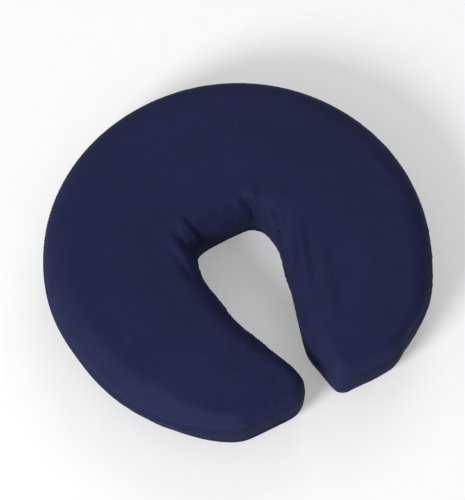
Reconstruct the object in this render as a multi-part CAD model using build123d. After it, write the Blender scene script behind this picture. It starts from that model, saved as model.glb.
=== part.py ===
from build123d import *

import os

# Horseshoe face cradle cushion in a fitted washable cover.
#
# Millimetres, +Z up. The origin is the centre of the footprint, on the surface that the cushion rests on.
# The closed crown is towards +Y and the chin gap, where the two arms end, is towards -Y.
#
# From the outside in, a fitted cover with an elastic hem wraps an upholstered cushion: vinyl panels over two
# glued foam layers. Loop strips under the cushion grip the hooks of a face cradle's platform.
# Every layer follows one plan outline, set in by the layers and clearances outside it.

# Overall size, over the fitted cover
OUTER_RADIUS = 160.0  # round outer edge, seen from above
HEIGHT = 60.0  # from the surface it rests on to the top of the cover
CHIN_CUT = 16.5  # how far the flat ends of the arms lie inside the round edge
TOP_RADIUS = 18.0  # rounding along the top edge
BOTTOM_RADIUS = 12.0  # rounding along the bottom edge
CHIN_OUTER_CORNER = 40.0  # plan corner between the round edge and an arm's end
CHIN_INNER_CORNER = 22.0  # plan corner between an arm's end and the chin gap

# Face opening, seen from above
CROWN_DEPTH = 134.0  # solid crown, from the round edge to the opening
CROWN_HALF = 31.0  # half width at the crown wall
CROWN_CORNER = 9.0  # plan corners of the crown wall
WIDE_HALF = 36.0  # half width at the widest place
WIDE_FROM_CROWN = 32.0  # the widest place, below the crown wall
WIDE_CORNER = 60.0
THROAT_HALF = 10.5  # half width at the narrowest place
THROAT_FROM_CHIN = 27.5  # the narrowest place, above the ends of the arms
THROAT_CORNER = 20.0
CHIN_HALF = 13.0  # half width of the gap between the ends of the arms

# Layers
CLEARANCE = 0.3  # air between one layer and the next
FABRIC = 0.8  # cover fabric
VINYL = 1.2  # upholstery vinyl
SUPPORT_SHARE = 0.55  # share of the foam's height that is firm support foam

# Seams
THREAD = 0.6  # height of a seam's line of thread
COVER_SEAM_DROP = 20.0  # cover's panel seam, below the top of the cover
HEM_START = 14.0  # where the cover's bands end and its hem begins, above the underside
SEAM_FLAT_IN = 2.0  # vertical seams between outer and inner bands, past the chin corner
VINYL_SEAM_DROP = 19.0  # upholstery's top seam, below the top of the cover

# Elastic hem, under the cushion
CASING_WIDTH = 10.0  # folded fabric tube
ELASTIC_WIDTH = 6.0
ELASTIC_THICK = 0.7
ELASTIC_PLAY = 0.1  # above and below the elastic
HEM_THREAD_GAP = 0.3  # from the rounding to the row of thread, and from the thread to the casing

# Loop strips, under the cushion
STRIP_WIDTH = 25.0
CROWN_STRIP_LENGTH = 90.0
ARM_STRIP_LENGTH = 80.0
ARM_STRIP_DROP = 20.0  # centre of an arm's strip, below the centre of the round edge
STRIP_CORNER = 3.0

REACH = 2.0 * OUTER_RADIUS  # larger than the cushion, for cutting blocks
BAND_REACH = 20.0  # how far the inner bands' cutting block reaches past the opening
BAND_CHIN_REACH = 8.0  # and how far above the ends of the arms it stops

chin_y = CHIN_CUT - OUTER_RADIUS
crown_y = OUTER_RADIUS - CROWN_DEPTH
wide_y = crown_y - WIDE_FROM_CROWN
throat_y = chin_y + THROAT_FROM_CHIN
middle_y = (OUTER_RADIUS + chin_y) / 2  # centre of the footprint, from the centre of the round edge

casing_height = 2 * FABRIC + ELASTIC_THICK + 2 * ELASTIC_PLAY
underside = casing_height + CLEARANCE  # bottom of the upholstery, above the surface
cover_seam = HEIGHT - COVER_SEAM_DROP
vinyl_seam = HEIGHT - VINYL_SEAM_DROP
hem_top = underside + HEM_START
band_seam_x = CHIN_HALF + CHIN_INNER_CORNER + SEAM_FLAT_IN

vinyl_inset = FABRIC + CLEARANCE
foam_inset = vinyl_inset + VINYL + CLEARANCE
thread_inset = BOTTOM_RADIUS + HEM_THREAD_GAP
casing_inset = thread_inset + THREAD + HEM_THREAD_GAP


def nearest(vertices, x, y):
    """The vertices at (x, y) and at its mirror image (-x, y)."""
    wanted = [Vector(x, y), Vector(-x, y)]
    return [min(vertices, key=lambda v: (Vector(v.X, v.Y) - place).length) for place in wanted]


def plan_outline():
    """The horseshoe, seen from above, with every corner rounded. Its round edge is centred on (0, 0)."""
    right_side = [
        (CROWN_HALF, crown_y),
        (WIDE_HALF, wide_y),
        (THROAT_HALF, throat_y),
        (CHIN_HALF, chin_y),
        (CHIN_HALF, chin_y - CHIN_CUT - 1),
    ]
    left_side = [(-x, y) for x, y in reversed(right_side)]
    opening = make_face(Polyline(*right_side, *left_side, close=True))
    below = Pos(0, chin_y - REACH / 2) * Rectangle(REACH, REACH)
    horseshoe = Circle(OUTER_RADIUS) - below - opening
    chin_outer_x = (OUTER_RADIUS**2 - chin_y**2) ** 0.5
    corners = [
        (CROWN_HALF, crown_y, CROWN_CORNER),
        (WIDE_HALF, wide_y, WIDE_CORNER),
        (THROAT_HALF, throat_y, THROAT_CORNER),
        (CHIN_HALF, chin_y, CHIN_INNER_CORNER),
        (chin_outer_x, chin_y, CHIN_OUTER_CORNER),
    ]
    for x, y, radius in corners:
        horseshoe = fillet(nearest(horseshoe.vertices(), x, y), radius)
    return horseshoe


OUTLINE = plan_outline()


def outline(inset):
    """The plan outline, set in by a distance and centred on the footprint."""
    face = OUTLINE if inset == 0 else offset(OUTLINE, -inset)
    return Pos(0, -middle_y) * face


def slab(inset, low, high):
    """A flat-sided horseshoe between two heights."""
    return extrude(Pos(0, 0, low) * outline(inset), high - low)


def ring(outer_inset, inner_inset, low, high):
    """A band of the outline's shape, closed all the way round."""
    return slab(outer_inset, low, high) - slab(inner_inset, low, high)


def pad(inset, low, high, top_radius, bottom_radius):
    """A horseshoe with rounded top and bottom edges."""
    body = slab(inset, low, high)
    body = fillet(body.faces().sort_by(Axis.Z)[-1].edges(), top_radius)
    return fillet(body.faces().sort_by(Axis.Z)[0].edges(), bottom_radius)


def layer(inset, top, bottom):
    """The pad whose surface lies inset from the cover's, between two heights."""
    return pad(inset, bottom, top, TOP_RADIUS - inset, BOTTOM_RADIUS - inset)


def between(body, low, high):
    """The part of a body between two heights."""
    return body & (Pos(0, 0, (low + high) / 2) * Box(REACH, REACH, high - low))


def inner_block():
    """The space that holds the walls of the face opening and of the chin gap, and no outer wall."""
    high_y = crown_y + BAND_REACH
    low_y = chin_y + BAND_CHIN_REACH
    wide = Pos(0, (high_y + low_y) / 2 - middle_y) * Box(2 * (WIDE_HALF + BAND_REACH), high_y - low_y, REACH)
    gap = Pos(0, chin_y - middle_y) * Box(2 * band_seam_x, 2 * BAND_CHIN_REACH, REACH)
    return wide + gap


INNER_BLOCK = inner_block()


def one_solid(shape):
    """A shape as a plain compound of its solids, checked to be a single piece."""
    solids = shape.solids()
    assert len(solids) == 1, f"expected one solid, found {len(solids)}"
    return Compound(solids)


def cover_shell():
    outside = layer(0, HEIGHT, casing_height - FABRIC)
    inside = layer(FABRIC, HEIGHT - FABRIC, casing_height)
    return outside - inside


def cover_parts():
    """Panel, bands and thread of the fitted cover, and the elastic hem that holds it under the cushion."""
    shell = cover_shell()
    bands = between(shell, hem_top, cover_seam)
    casing_end = casing_inset + CASING_WIDTH
    skin = between(shell, 0, hem_top) - slab(casing_end, 0, underside)
    casing = ring(casing_inset, casing_end, 0, casing_height)
    pocket_inset = casing_inset + FABRIC
    pocket = ring(pocket_inset, casing_end - FABRIC, FABRIC, casing_height - FABRIC)
    elastic_inset = casing_inset + (CASING_WIDTH - ELASTIC_WIDTH) / 2
    elastic_low = FABRIC + ELASTIC_PLAY
    return {
        "cover_top_panel": between(shell, cover_seam + THREAD, HEIGHT),
        "cover_seam_thread": ring(0, FABRIC, cover_seam, cover_seam + THREAD),
        "cover_outer_band": bands - INNER_BLOCK,
        "cover_inner_band": bands & INNER_BLOCK,
        "cover_hem": skin + casing - pocket,
        "hem_elastic": ring(
            elastic_inset, elastic_inset + ELASTIC_WIDTH, elastic_low, elastic_low + ELASTIC_THICK
        ),
        "hem_thread": ring(
            thread_inset, thread_inset + THREAD, casing_height - FABRIC - THREAD, casing_height - FABRIC
        ),
    }


def upholstery_parts():
    """Vinyl panels sewn round the foam."""
    top = HEIGHT - vinyl_inset
    outside = layer(vinyl_inset, top, underside)
    inside = layer(vinyl_inset + VINYL, top - VINYL, underside + VINYL)
    shell = outside - inside
    low_seam = underside + BOTTOM_RADIUS
    bands = between(shell, low_seam + THREAD, vinyl_seam)
    return {
        "vinyl_top_panel": between(shell, vinyl_seam + THREAD, HEIGHT),
        "vinyl_top_seam_thread": ring(vinyl_inset, vinyl_inset + VINYL, vinyl_seam, vinyl_seam + THREAD),
        "vinyl_outer_band": bands - INNER_BLOCK,
        "vinyl_inner_band": bands & INNER_BLOCK,
        "vinyl_bottom_seam_thread": ring(vinyl_inset, vinyl_inset + VINYL, low_seam, low_seam + THREAD),
        "vinyl_underside_panel": between(shell, 0, low_seam),
    }


def foam_parts():
    """Firm foam below and slow-recovery foam above, glued face to face."""
    low = underside + VINYL + CLEARANCE
    high = HEIGHT - foam_inset
    foam = layer(foam_inset, high, low)
    glue_line = low + SUPPORT_SHARE * (high - low)
    return {
        "support_foam": between(foam, 0, glue_line),
        "comfort_foam": between(foam, glue_line, HEIGHT),
    }


def loop_strip(x, y, width, length):
    """A sewn strip of loop tape that reaches from the upholstery down to the surface."""
    return extrude(Pos(x, y - middle_y) * RectangleRounded(width, length, STRIP_CORNER), underside)


def strip_parts():
    arm_x = (WIDE_HALF + OUTER_RADIUS) / 2
    crown_strip_y = (crown_y + OUTER_RADIUS) / 2
    return {
        "crown_loop_strip": loop_strip(0, crown_strip_y, CROWN_STRIP_LENGTH, STRIP_WIDTH),
        "left_loop_strip": loop_strip(-arm_x, -ARM_STRIP_DROP, STRIP_WIDTH, ARM_STRIP_LENGTH),
        "right_loop_strip": loop_strip(arm_x, -ARM_STRIP_DROP, STRIP_WIDTH, ARM_STRIP_LENGTH),
    }


def main():
    os.makedirs("parts", exist_ok=True)
    parts = {**cover_parts(), **upholstery_parts(), **foam_parts(), **strip_parts()}
    for name, shape in parts.items():
        export_step(one_solid(shape), f"parts/{name}.step")


main()
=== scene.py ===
"""Looks for a horseshoe face cradle cushion: a navy fitted cover with an elastic hem over a vinyl cushion.

Metres, +Z up, in the frame of the CAD model: crown towards +Y, chin gap towards -Y, on the floor at Z = 0.
The cover, the vinyl and the foam are skins over one plan line. A skin is a ladder of quads that runs round
the horseshoe on top, and rings that go over the rim, down the wall and in under the cushion.
"""

import math

import bpy
import numpy as np
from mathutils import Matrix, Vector
from mathutils.bvhtree import BVHTree
from mathutils.kdtree import KDTree


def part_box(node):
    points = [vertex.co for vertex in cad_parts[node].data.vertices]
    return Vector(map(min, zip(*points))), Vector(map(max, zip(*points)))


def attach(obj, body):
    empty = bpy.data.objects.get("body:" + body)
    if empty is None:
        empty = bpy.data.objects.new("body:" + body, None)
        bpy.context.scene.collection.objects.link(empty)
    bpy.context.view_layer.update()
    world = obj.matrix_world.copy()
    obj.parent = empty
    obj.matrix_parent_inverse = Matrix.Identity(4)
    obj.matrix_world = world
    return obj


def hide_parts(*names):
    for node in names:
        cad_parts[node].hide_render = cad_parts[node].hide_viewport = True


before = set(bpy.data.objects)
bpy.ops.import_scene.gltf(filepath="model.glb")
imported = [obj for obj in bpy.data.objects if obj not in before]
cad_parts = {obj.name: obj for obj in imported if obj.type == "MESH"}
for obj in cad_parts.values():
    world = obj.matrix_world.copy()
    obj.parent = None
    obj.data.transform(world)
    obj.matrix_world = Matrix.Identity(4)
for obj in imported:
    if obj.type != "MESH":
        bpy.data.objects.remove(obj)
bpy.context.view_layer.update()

MM = 0.001

# ---------------------------------------------------------------- sizes, from the frame


def middle_height(node):
    low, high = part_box(node)
    return (low.z + high.z) / 2


panel_low, panel_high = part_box("cover_top_panel")
RADIUS = (panel_high.x - panel_low.x) / 2
CENTRE_Y = panel_high.y - RADIUS  # centre of the round edge
CHIN_Y = panel_low.y - CENTRE_Y  # ends of the arms, from the centre of the round edge
TOP = panel_high.z
COVER_SEAM_Z = middle_height("cover_seam_thread")
HEM_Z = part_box("cover_hem")[1].z
VINYL_TOP_SEAM_Z = middle_height("vinyl_top_seam_thread")
VINYL_LOW_SEAM_Z = middle_height("vinyl_bottom_seam_thread")
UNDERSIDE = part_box("vinyl_underside_panel")[0].z
GLUE_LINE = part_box("comfort_foam")[0].z
BAND_SEAM_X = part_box("cover_inner_band")[1].x  # vertical seams between the outer and inner bands

# ---------------------------------------------------------------- the plan line
# Corners of each side of the face opening, from the crown wall down to the arm's end: half width, distance
# along Y from the centre of the round edge, and corner radius. The stitched cover isn't quite even.
RIGHT_ARM = [
    (33.0 * MM, 26.4 * MM, 6.0 * MM),
    (37.6 * MM, -4.0 * MM, 45.0 * MM),
    (8.2 * MM, -102.0 * MM, 34.0 * MM),
    (16.6 * MM, CHIN_Y, 11.0 * MM),
]
LEFT_ARM = [
    (28.0 * MM, 24.1 * MM, 18.0 * MM),
    (37.0 * MM, -4.0 * MM, 26.0 * MM),
    (31.3 * MM, -52.0 * MM, 80.0 * MM),
    (8.0 * MM, -116.0 * MM, 50.0 * MM),
    (5.5 * MM, CHIN_Y, 17.0 * MM),
]
# Where the round edge swells or pulls in: angle, half width and height
EDGE_WAVES = [
    (math.radians(-43), math.radians(9), 2.0 * MM),
    (math.radians(-57), math.radians(6), -2.2 * MM),
    (math.radians(52), math.radians(28), 0.8 * MM),
    (math.radians(187), math.radians(12), -1.8 * MM),
]
RIGHT_OUTER_CORNER = 16.0 * MM
LEFT_OUTER_CORNER = 25.0 * MM

# The cover's section
CLOTH = 0.8 * MM
HEM_CLOTH = 0.6 * MM
RIM_INSET = 25.0 * MM  # rounding from the flat top down to the wall, in plan
RIM_DROP = 23.0 * MM  # and in height
FOOT_INSET = 15.0 * MM  # rounding from the wall in under the cushion, in plan
FOOT_RISE = 26.0 * MM  # and in height
FLAT_INSET = 32.0 * MM  # where the flat top's ladder begins
CROWN = 1.2 * MM  # how far the flat top swells
WALL_SWELL = 0.8 * MM
COVER_LOW = 2.0 * MM  # the cover's skin under the cushion
SEAM_STEPS = np.array([1.8, 0.9, 0.4, 0.0, -0.4, -0.9, -1.8]) * MM  # close rings beside a seam

# The skins' quads
ALONG = 220  # quads round the horseshoe
ACROSS = 26  # quads from its outer to its inner edge
RING = 2 * (ALONG + ACROSS)
LINE_STEP = 0.5 * MM  # between the points of a rounded corner
ROUND_EDGE_POINTS = 240
SPARE_POINTS = 4  # of the round edge, that give way to a rounded corner
LADDER_PASSES = 60  # of smoothing

# How rings move in from the plan line
FLOW_STEP = 0.7 * MM
FLOW_SMOOTHING = 0.4
COVER_PASSES = 1  # of smoothing, to each step
HIDDEN_PASSES = 3  # the same for the layers under the cover, whose corners are tighter
# The arms narrow towards their ends, and so does the rounding of their rims
NARROW_FROM = -85.0 * MM
NARROW_TO = -140.0 * MM
NARROW_SHARE = 0.32
# Shares of the inset under the wall, at the round edge and in the opening
TUCK_OUTSIDE = 1.45
TUCK_OPENING = 0.62
TUCK_TURN = 35.0 * MM  # the change from one to the other


def fillet(before, corner, after, radius):
    """Points of the arc that rounds a corner."""
    a = (before - corner) / np.linalg.norm(before - corner)
    b = (after - corner) / np.linalg.norm(after - corner)
    half = math.acos(np.clip(a @ b, -1, 1)) / 2
    reach = radius / math.tan(half)
    middle = (a + b) / np.linalg.norm(a + b)
    centre = corner + middle * radius / math.sin(half)
    start = corner + a * reach - centre
    end = corner + b * reach - centre
    turn = math.pi - 2 * half
    side = math.copysign(1, start[0] * end[1] - start[1] * end[0])
    count = max(3, int(radius * turn / LINE_STEP))
    angles = math.atan2(start[1], start[0]) + side * np.linspace(0, turn, count)
    return centre + radius * np.c_[np.cos(angles), np.sin(angles)]


def resampled(line, count):
    """An open line as count + 1 points, evenly spaced."""
    steps = np.linalg.norm(np.diff(line, axis=0), axis=1)
    length = np.r_[0, np.cumsum(steps)]
    places = np.linspace(0, length[-1], count + 1)
    return np.column_stack([np.interp(places, length, column) for column in line.T])


def edge_reach(angle):
    """How far the round edge is from its centre, at an angle."""
    return RADIUS + sum(height * math.exp(-(((angle - at) / width) ** 2)) for at, width, height in EDGE_WAVES)


def plan_line():
    """The horseshoe's outline, counter-clockwise: round edge, left arm's end, opening, right arm's end."""
    corner_x = math.sqrt(RADIUS**2 - CHIN_Y**2)
    first = math.atan2(CHIN_Y, corner_x)
    round_edge = np.linspace(first, math.pi - first, ROUND_EDGE_POINTS)
    reach = [edge_reach(a) for a in round_edge]
    line = [(r * math.cos(a), r * math.sin(a), 0.0) for r, a in zip(reach, round_edge)]
    line[0] = (*line[0][:2], RIGHT_OUTER_CORNER)
    line[-1] = (*line[-1][:2], LEFT_OUTER_CORNER)
    line += [(-x, y, radius) for x, y, radius in reversed(LEFT_ARM)]
    line += RIGHT_ARM
    points = [np.array(p[:2]) for p in line]
    last = ROUND_EDGE_POINTS - 1
    out = []
    for i, (_, _, radius) in enumerate(line):
        if radius > 0:
            before = points[i - SPARE_POINTS - 1] if i == last else points[i - 1]
            after = points[SPARE_POINTS + 1] if i == 0 else points[(i + 1) % len(points)]
            out.append(fillet(before, points[i], after, radius))
        elif SPARE_POINTS < i < last - SPARE_POINTS:
            out.append(points[i][None])
    return np.vstack(out)


def outline_ring():
    """The outline as a ring of RING points, cut at the arms' corners: round edge, end, opening, end."""
    line = plan_line()
    corner_x = math.sqrt(RADIUS**2 - CHIN_Y**2)
    corners = [
        (corner_x, CHIN_Y),
        (-corner_x, CHIN_Y),
        (-LEFT_ARM[-1][0], CHIN_Y),
        (RIGHT_ARM[-1][0], CHIN_Y),
    ]
    cuts = [int(np.argmin(np.linalg.norm(line - np.array(c), axis=1))) for c in corners]
    line = np.roll(line, -cuts[0], axis=0)
    cuts = [(c - cuts[0]) % len(line) for c in cuts] + [len(line)]
    closed = np.vstack([line, line[:1]])
    counts = [ALONG, ACROSS, ALONG, ACROSS]
    return np.vstack([resampled(closed[cuts[k] : cuts[k + 1] + 1], counts[k])[:-1] for k in range(4)])


def ease(x):
    """0 below 0, 1 above 1, and smooth between."""
    x = np.clip(x, 0, 1)
    return x * x * (3 - 2 * x)


def tuck(line):
    """The share of the usual inset that each place of the line takes under the wall."""
    share = np.full(RING, TUCK_OUTSIDE)
    opening = slice(ALONG + ACROSS, 2 * ALONG + ACROSS)
    towards_end = ease((NARROW_FROM - line[opening, 1]) / TUCK_TURN)
    share[opening] = TUCK_OPENING + (TUCK_OUTSIDE - TUCK_OPENING) * towards_end
    return share


def flow(ring, distance, passes):
    """A ring moved inwards, smoothed on the way so that it never crosses itself at a corner."""
    distance = distance[:, None]
    furthest = np.abs(distance).max()
    steps = max(1, math.ceil(furthest / FLOW_STEP))
    smoothing = FLOW_SMOOTHING * furthest / (steps * FLOW_STEP)
    for _ in range(steps):
        tangent = np.roll(ring, -1, axis=0) - np.roll(ring, 1, axis=0)
        tangent /= np.linalg.norm(tangent, axis=1)[:, None]
        ring = ring + np.c_[-tangent[:, 1], tangent[:, 0]] * distance / steps
        for _ in range(passes):
            middle = (np.roll(ring, 1, axis=0) + np.roll(ring, -1, axis=0)) / 2
            ring = ring + smoothing * (middle - ring)
    return ring


def inset_ring(line, inset, gap=0.0, under=False):
    """The outline moved in: by a gap everywhere, and by the rest of the inset less where the arms narrow."""
    narrow = ease((NARROW_FROM - line[:, 1]) / (NARROW_FROM - NARROW_TO))
    least = (NARROW_SHARE * FLAT_INSET - gap) / (FLAT_INSET - gap)
    share = 1 - (1 - least) * narrow
    if under:
        share = share * tuck(line)
    return flow(line, gap + (inset - gap) * share, HIDDEN_PASSES if gap else COVER_PASSES)


def ladder(ring):
    """Points of a grid that fills a ring, from the round edge (first column) to the opening (last)."""
    a = ring[: ALONG + 1]
    b = ring[ALONG : ALONG + ACROSS + 1]
    c = ring[ALONG + ACROSS : 2 * ALONG + ACROSS + 1][::-1]
    d = np.vstack([ring[2 * ALONG + ACROSS :], ring[:1]])[::-1]
    u = np.linspace(0, 1, ALONG + 1)[:, None, None]
    v = np.linspace(0, 1, ACROSS + 1)[None, :, None]
    grid = (1 - v) * a[:, None] + v * c[:, None] + (1 - u) * d[None] + u * b[None]
    grid = grid - (1 - u) * (1 - v) * a[0] - u * (1 - v) * a[-1] - (1 - u) * v * c[0] - u * v * c[-1]
    for _ in range(LADDER_PASSES):
        middle = grid[:-2, 1:-1] + grid[2:, 1:-1] + grid[1:-1, :-2] + grid[1:-1, 2:]
        grid[1:-1, 1:-1] = middle / 4
    return grid


def ladder_faces(first_ring, first_inner):
    """Quads of a ladder, from its border's first point and its inside's first point."""
    index = np.zeros((ALONG + 1, ACROSS + 1), int)
    ring = first_ring + np.arange(RING)
    index[:, 0] = ring[: ALONG + 1]
    index[-1, :] = ring[ALONG : ALONG + ACROSS + 1]
    index[:, -1] = ring[ALONG + ACROSS : 2 * ALONG + ACROSS + 1][::-1]
    index[0, :] = np.r_[ring[2 * ALONG + ACROSS :], ring[0]][::-1]
    inside = (ALONG - 1) * (ACROSS - 1)
    index[1:-1, 1:-1] = first_inner + np.arange(inside).reshape(ALONG - 1, ACROSS - 1)
    corners = [index[:-1, :-1], index[1:, :-1], index[1:, 1:], index[:-1, 1:]]
    return np.stack(corners, axis=-1).reshape(-1, 4)


# ---------------------------------------------------------------- skins
# Panels of a skin, as the face's material index while it is shaped
TOP_PANEL, OUTER_BAND, INNER_BAND, LOWER_PANEL = PANELS = range(4)
# Heights for a skin that has no seams
OVER_ALL = 1.0
BELOW_ALL = -1.0
CROWN_TO_ENDS = 12  # the higher, the nearer to the arms' ends the flat top keeps its crown


class Skin:
    """Points, quads and panels of a horseshoe's skin."""

    def __init__(self, line, profile, crown, high_seam, low_seam, gap=0.0, closed_below=False):
        """profile is a list of (inset, height) from the top face, over the rim and down the wall."""
        rings = []
        for inset, z in profile:
            plan = inset_ring(line, inset, gap, under=z < COVER_LOW + FOOT_RISE)
            rings.append(np.c_[plan, np.full(RING, z)])
        points = list(rings)
        top = ladder(rings[0][:, :2])
        u = np.linspace(-1, 1, ALONG + 1)[:, None]
        v = np.linspace(-1, 1, ACROSS + 1)[None, :]
        height = profile[0][1] + crown * (1 - v**2) ** 2 * (1 - u**CROWN_TO_ENDS)
        points.append(np.c_[top[1:-1, 1:-1].reshape(-1, 2), height[1:-1, 1:-1].reshape(-1)])
        faces = [ladder_faces(0, len(rings) * RING)]
        panels = [np.full(len(faces[0]), TOP_PANEL)]
        inner = np.zeros(RING, bool)
        inner[ALONG:] = np.abs(line[ALONG:, 0]) < BAND_SEAM_X
        here = np.arange(RING)
        for r in range(len(rings) - 1):
            upper = r * RING + here
            lower = upper + RING
            faces.append(np.stack([upper, lower, np.roll(lower, -1), np.roll(upper, -1)], axis=-1))
            z = (profile[r][1] + profile[r + 1][1]) / 2
            band = np.where(inner, INNER_BAND, OUTER_BAND)
            if z > high_seam:
                band = np.full(RING, TOP_PANEL)
            elif z < low_seam:
                band = np.full(RING, LOWER_PANEL)
            panels.append(band)
        if closed_below:
            under = ladder(rings[-1][:, :2])[1:-1, 1:-1].reshape(-1, 2)
            faces.append(ladder_faces((len(rings) - 1) * RING, sum(len(p) for p in points))[:, ::-1])
            points.append(np.c_[under, np.full(len(under), profile[-1][1])])
            panels.append(np.full(len(faces[-1]), LOWER_PANEL))
        self.points = np.vstack(points) + [0, CENTRE_Y, 0]
        self.faces = np.vstack(faces)
        self.panels = np.concatenate(panels)


def mesh_object(name, points, faces, smooth=True):
    mesh = bpy.data.meshes.new(name)
    mesh.from_pydata(np.asarray(points).tolist(), [], np.asarray(faces).tolist())
    mesh.update()
    if smooth:
        mesh.shade_smooth()
    obj = bpy.data.objects.new(name, mesh)
    bpy.context.scene.collection.objects.link(obj)
    return obj


def read_points(mesh):
    flat = np.zeros(len(mesh.vertices) * 3)
    mesh.vertices.foreach_get("co", flat)
    return flat.reshape(-1, 3)


def point_normals(points, faces):
    """Smooth normals of a quad mesh."""
    diagonal = points[faces[:, 2]] - points[faces[:, 0]]
    other = points[faces[:, 3]] - points[faces[:, 1]]
    face_normals = np.cross(diagonal, other)
    out = np.zeros_like(points)
    for k in range(4):
        np.add.at(out, faces[:, k], face_normals)
    return out / np.maximum(np.linalg.norm(out, axis=1)[:, None], 1e-12)


def subdivided(skin):
    """The skin with each quad cut in four and smoothed, its panels kept."""
    obj = mesh_object("shaping", skin.points, skin.faces)
    for _ in PANELS:
        obj.data.materials.append(None)
    obj.data.polygons.foreach_set("material_index", skin.panels)
    cut = obj.modifiers.new("cut", "SUBSURF")
    cut.levels = 1
    fine = bpy.data.meshes.new_from_object(obj.evaluated_get(bpy.context.evaluated_depsgraph_get()))
    skin.points = read_points(fine)
    faces = np.zeros(len(fine.polygons) * 4, int)
    fine.loops.foreach_get("vertex_index", faces)
    skin.faces = faces.reshape(-1, 4)
    panels = np.zeros(len(fine.polygons), int)
    fine.polygons.foreach_get("material_index", panels)
    skin.panels = panels
    bpy.data.objects.remove(obj)
    bpy.data.meshes.remove(fine)
    return skin


SHARP_ANGLE = math.radians(50)


def sheet_piece(name, skin, panels, thickness, normals):
    """One sewn panel as a closed piece of cloth: its outside, its inside, and its cut edges."""
    chosen = np.isin(skin.panels, panels)
    faces = skin.faces[chosen]
    used, local = np.unique(faces, return_inverse=True)
    local = local.reshape(-1, 4)
    outer = skin.points[used]
    inner = outer - normals[used] * thickness
    inner[:, 2] = np.maximum(inner[:, 2], 0)
    edges = np.vstack([local[:, [k, (k + 1) % 4]] for k in range(4)])
    keys = np.sort(edges, axis=1)
    _, first, count = np.unique(keys, axis=0, return_index=True, return_counts=True)
    rim = edges[first[count == 1]]
    shift = len(used)
    rim_faces = np.stack([rim[:, 1], rim[:, 0], rim[:, 0] + shift, rim[:, 1] + shift], axis=-1)
    all_faces = np.vstack([local, local[:, ::-1] + shift, rim_faces])
    obj = mesh_object(name, np.vstack([outer, inner]), all_faces)
    obj.data.set_sharp_from_angle(angle=SHARP_ANGLE)
    return obj


# ---------------------------------------------------------------- shaping tools


def bump(x, width):
    return np.exp(-((x / width) ** 2))


WAVE_LEAST = 0.3  # of a wave's height, when it is drawn at random


def wander(places, seed, waves):
    """A smooth closed random line over places from 0 to 1. waves is a list of (count, height)."""
    random = np.random.default_rng(seed)
    out = np.zeros_like(places)
    for count, height in waves:
        for step in (-2, -1, 0, 1, 2):
            phase = random.uniform(0, 2 * math.pi)
            drawn = height * random.uniform(WAVE_LEAST, 1)
            out += drawn * np.sin(2 * math.pi * (count + step) * places + phase)
    return out


CURVE_POINTS = 40


def smooth_curve(points):
    """Points along a Catmull-Rom curve through the given ones."""
    p = np.array(points, float)
    p = np.vstack([2 * p[0] - p[1], p, 2 * p[-1] - p[-2]])
    out = []
    spans = len(p) - 3
    for k in range(spans):
        a, b, c, d = p[k : k + 4]
        t = np.linspace(0, 1, CURVE_POINTS // spans + 1)[:, None]
        square = 2 * a - 5 * b + 4 * c - d
        cube = 3 * b - a - 3 * c + d
        out.append(0.5 * (2 * b + (c - a) * t + square * t**2 + cube * t**3))
    return np.vstack(out)


CREASE_REACH = 4  # widths beside a fold that it can still move
CREASE_END = 0.03  # share of a fold's length that its fade leaves at each end
CREASE_FADE = 0.8


def crease(skin, tree, points, width, height):
    """Moves points beside a line on the skin: out for a ridge (height above 0), in for a valley."""
    line = smooth_curve([(x * MM, y * MM + CENTRE_Y, z * MM) for x, y, z in points])
    line = np.array([tree.find_nearest(Vector(p))[0] for p in line])
    low = line.min(0) - CREASE_REACH * width
    high = line.max(0) + CREASE_REACH * width
    near = np.nonzero(np.all((skin.points > low) & (skin.points < high), axis=1))[0]
    away = np.linalg.norm(skin.points[near][:, None] - line[None], axis=2)
    nearest = away.argmin(1)
    along = nearest / (len(line) - 1)
    fade = np.sin(math.pi * (along * (1 - 2 * CREASE_END) + CREASE_END)) ** CREASE_FADE
    move = height * fade * bump(away.min(1), width)
    return near, move


# ---------------------------------------------------------------- how the cloth settles
FORM_VOXEL = 4.5 * MM
FORM_SHRINK = 1.0 * MM  # the cloth starts this far inside its place and swells
PAD_GAP = 1.6 * MM  # from the cloth's place down to the pad it lies on
PAD_SKIN = 0.3 * MM
PAD_FRICTION = 8.0
CLOTH_DISTANCE = 0.8 * MM  # that the cloth keeps from the pad
CLOTH_FRAMES = 20
CLOTH_SETTINGS = {
    "quality": 6,
    "mass": 0.25,
    "tension_stiffness": 25,
    "compression_stiffness": 25,
    "shear_stiffness": 8,
    "bending_stiffness": 0.05,
    "use_pressure": True,
    "uniform_pressure_force": 4.0,
    "vertex_group_shrink": "shrink",
    "shrink_min": -0.05,
    "shrink_max": 0.06,
}
LARGEST_MOVE = 4.5 * MM
LARGEST_DIP = 0.7 * MM  # inwards
TAUT_SHARE = 0.45  # of its movement that the flat top keeps, where the cover is stretched smooth
CROWN_WALL_SHARE = 0.2  # and the crown's wall, drawn straight between its two corners
TAUT_FROM, TAUT_FADE = 0.9, 0.09  # height of the normal, where the skin counts as flat top
CROWN_WALL_FROM, CROWN_WALL_FADE = 0.45, 0.3  # how far the normal of the crown's wall points down the opening
CROWN_WALL_Y_FADE = 15 * MM
BODY_WEIGHT = 0.6  # of the shrink group, where the cloth keeps its size
# The loose cloth: its middle and half width along X, its span along Y, its lowest height, and how each fades
LOOSE_X, LOOSE_HALF, LOOSE_SIDE_FADE = 6 * MM, 62 * MM, 25 * MM
LOOSE_FROM_Y, LOOSE_FROM_FADE = -75 * MM, 45 * MM
LOOSE_TO_Y, LOOSE_TO_FADE = 50 * MM, 20 * MM
LOOSE_Z, LOOSE_Z_FADE = 8 * MM, 10 * MM
PULLED_Z, PULLED_FADE = 11 * MM, 9 * MM
NEIGHBOURS = 8
FORM_RIM_STEPS = 9


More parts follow.
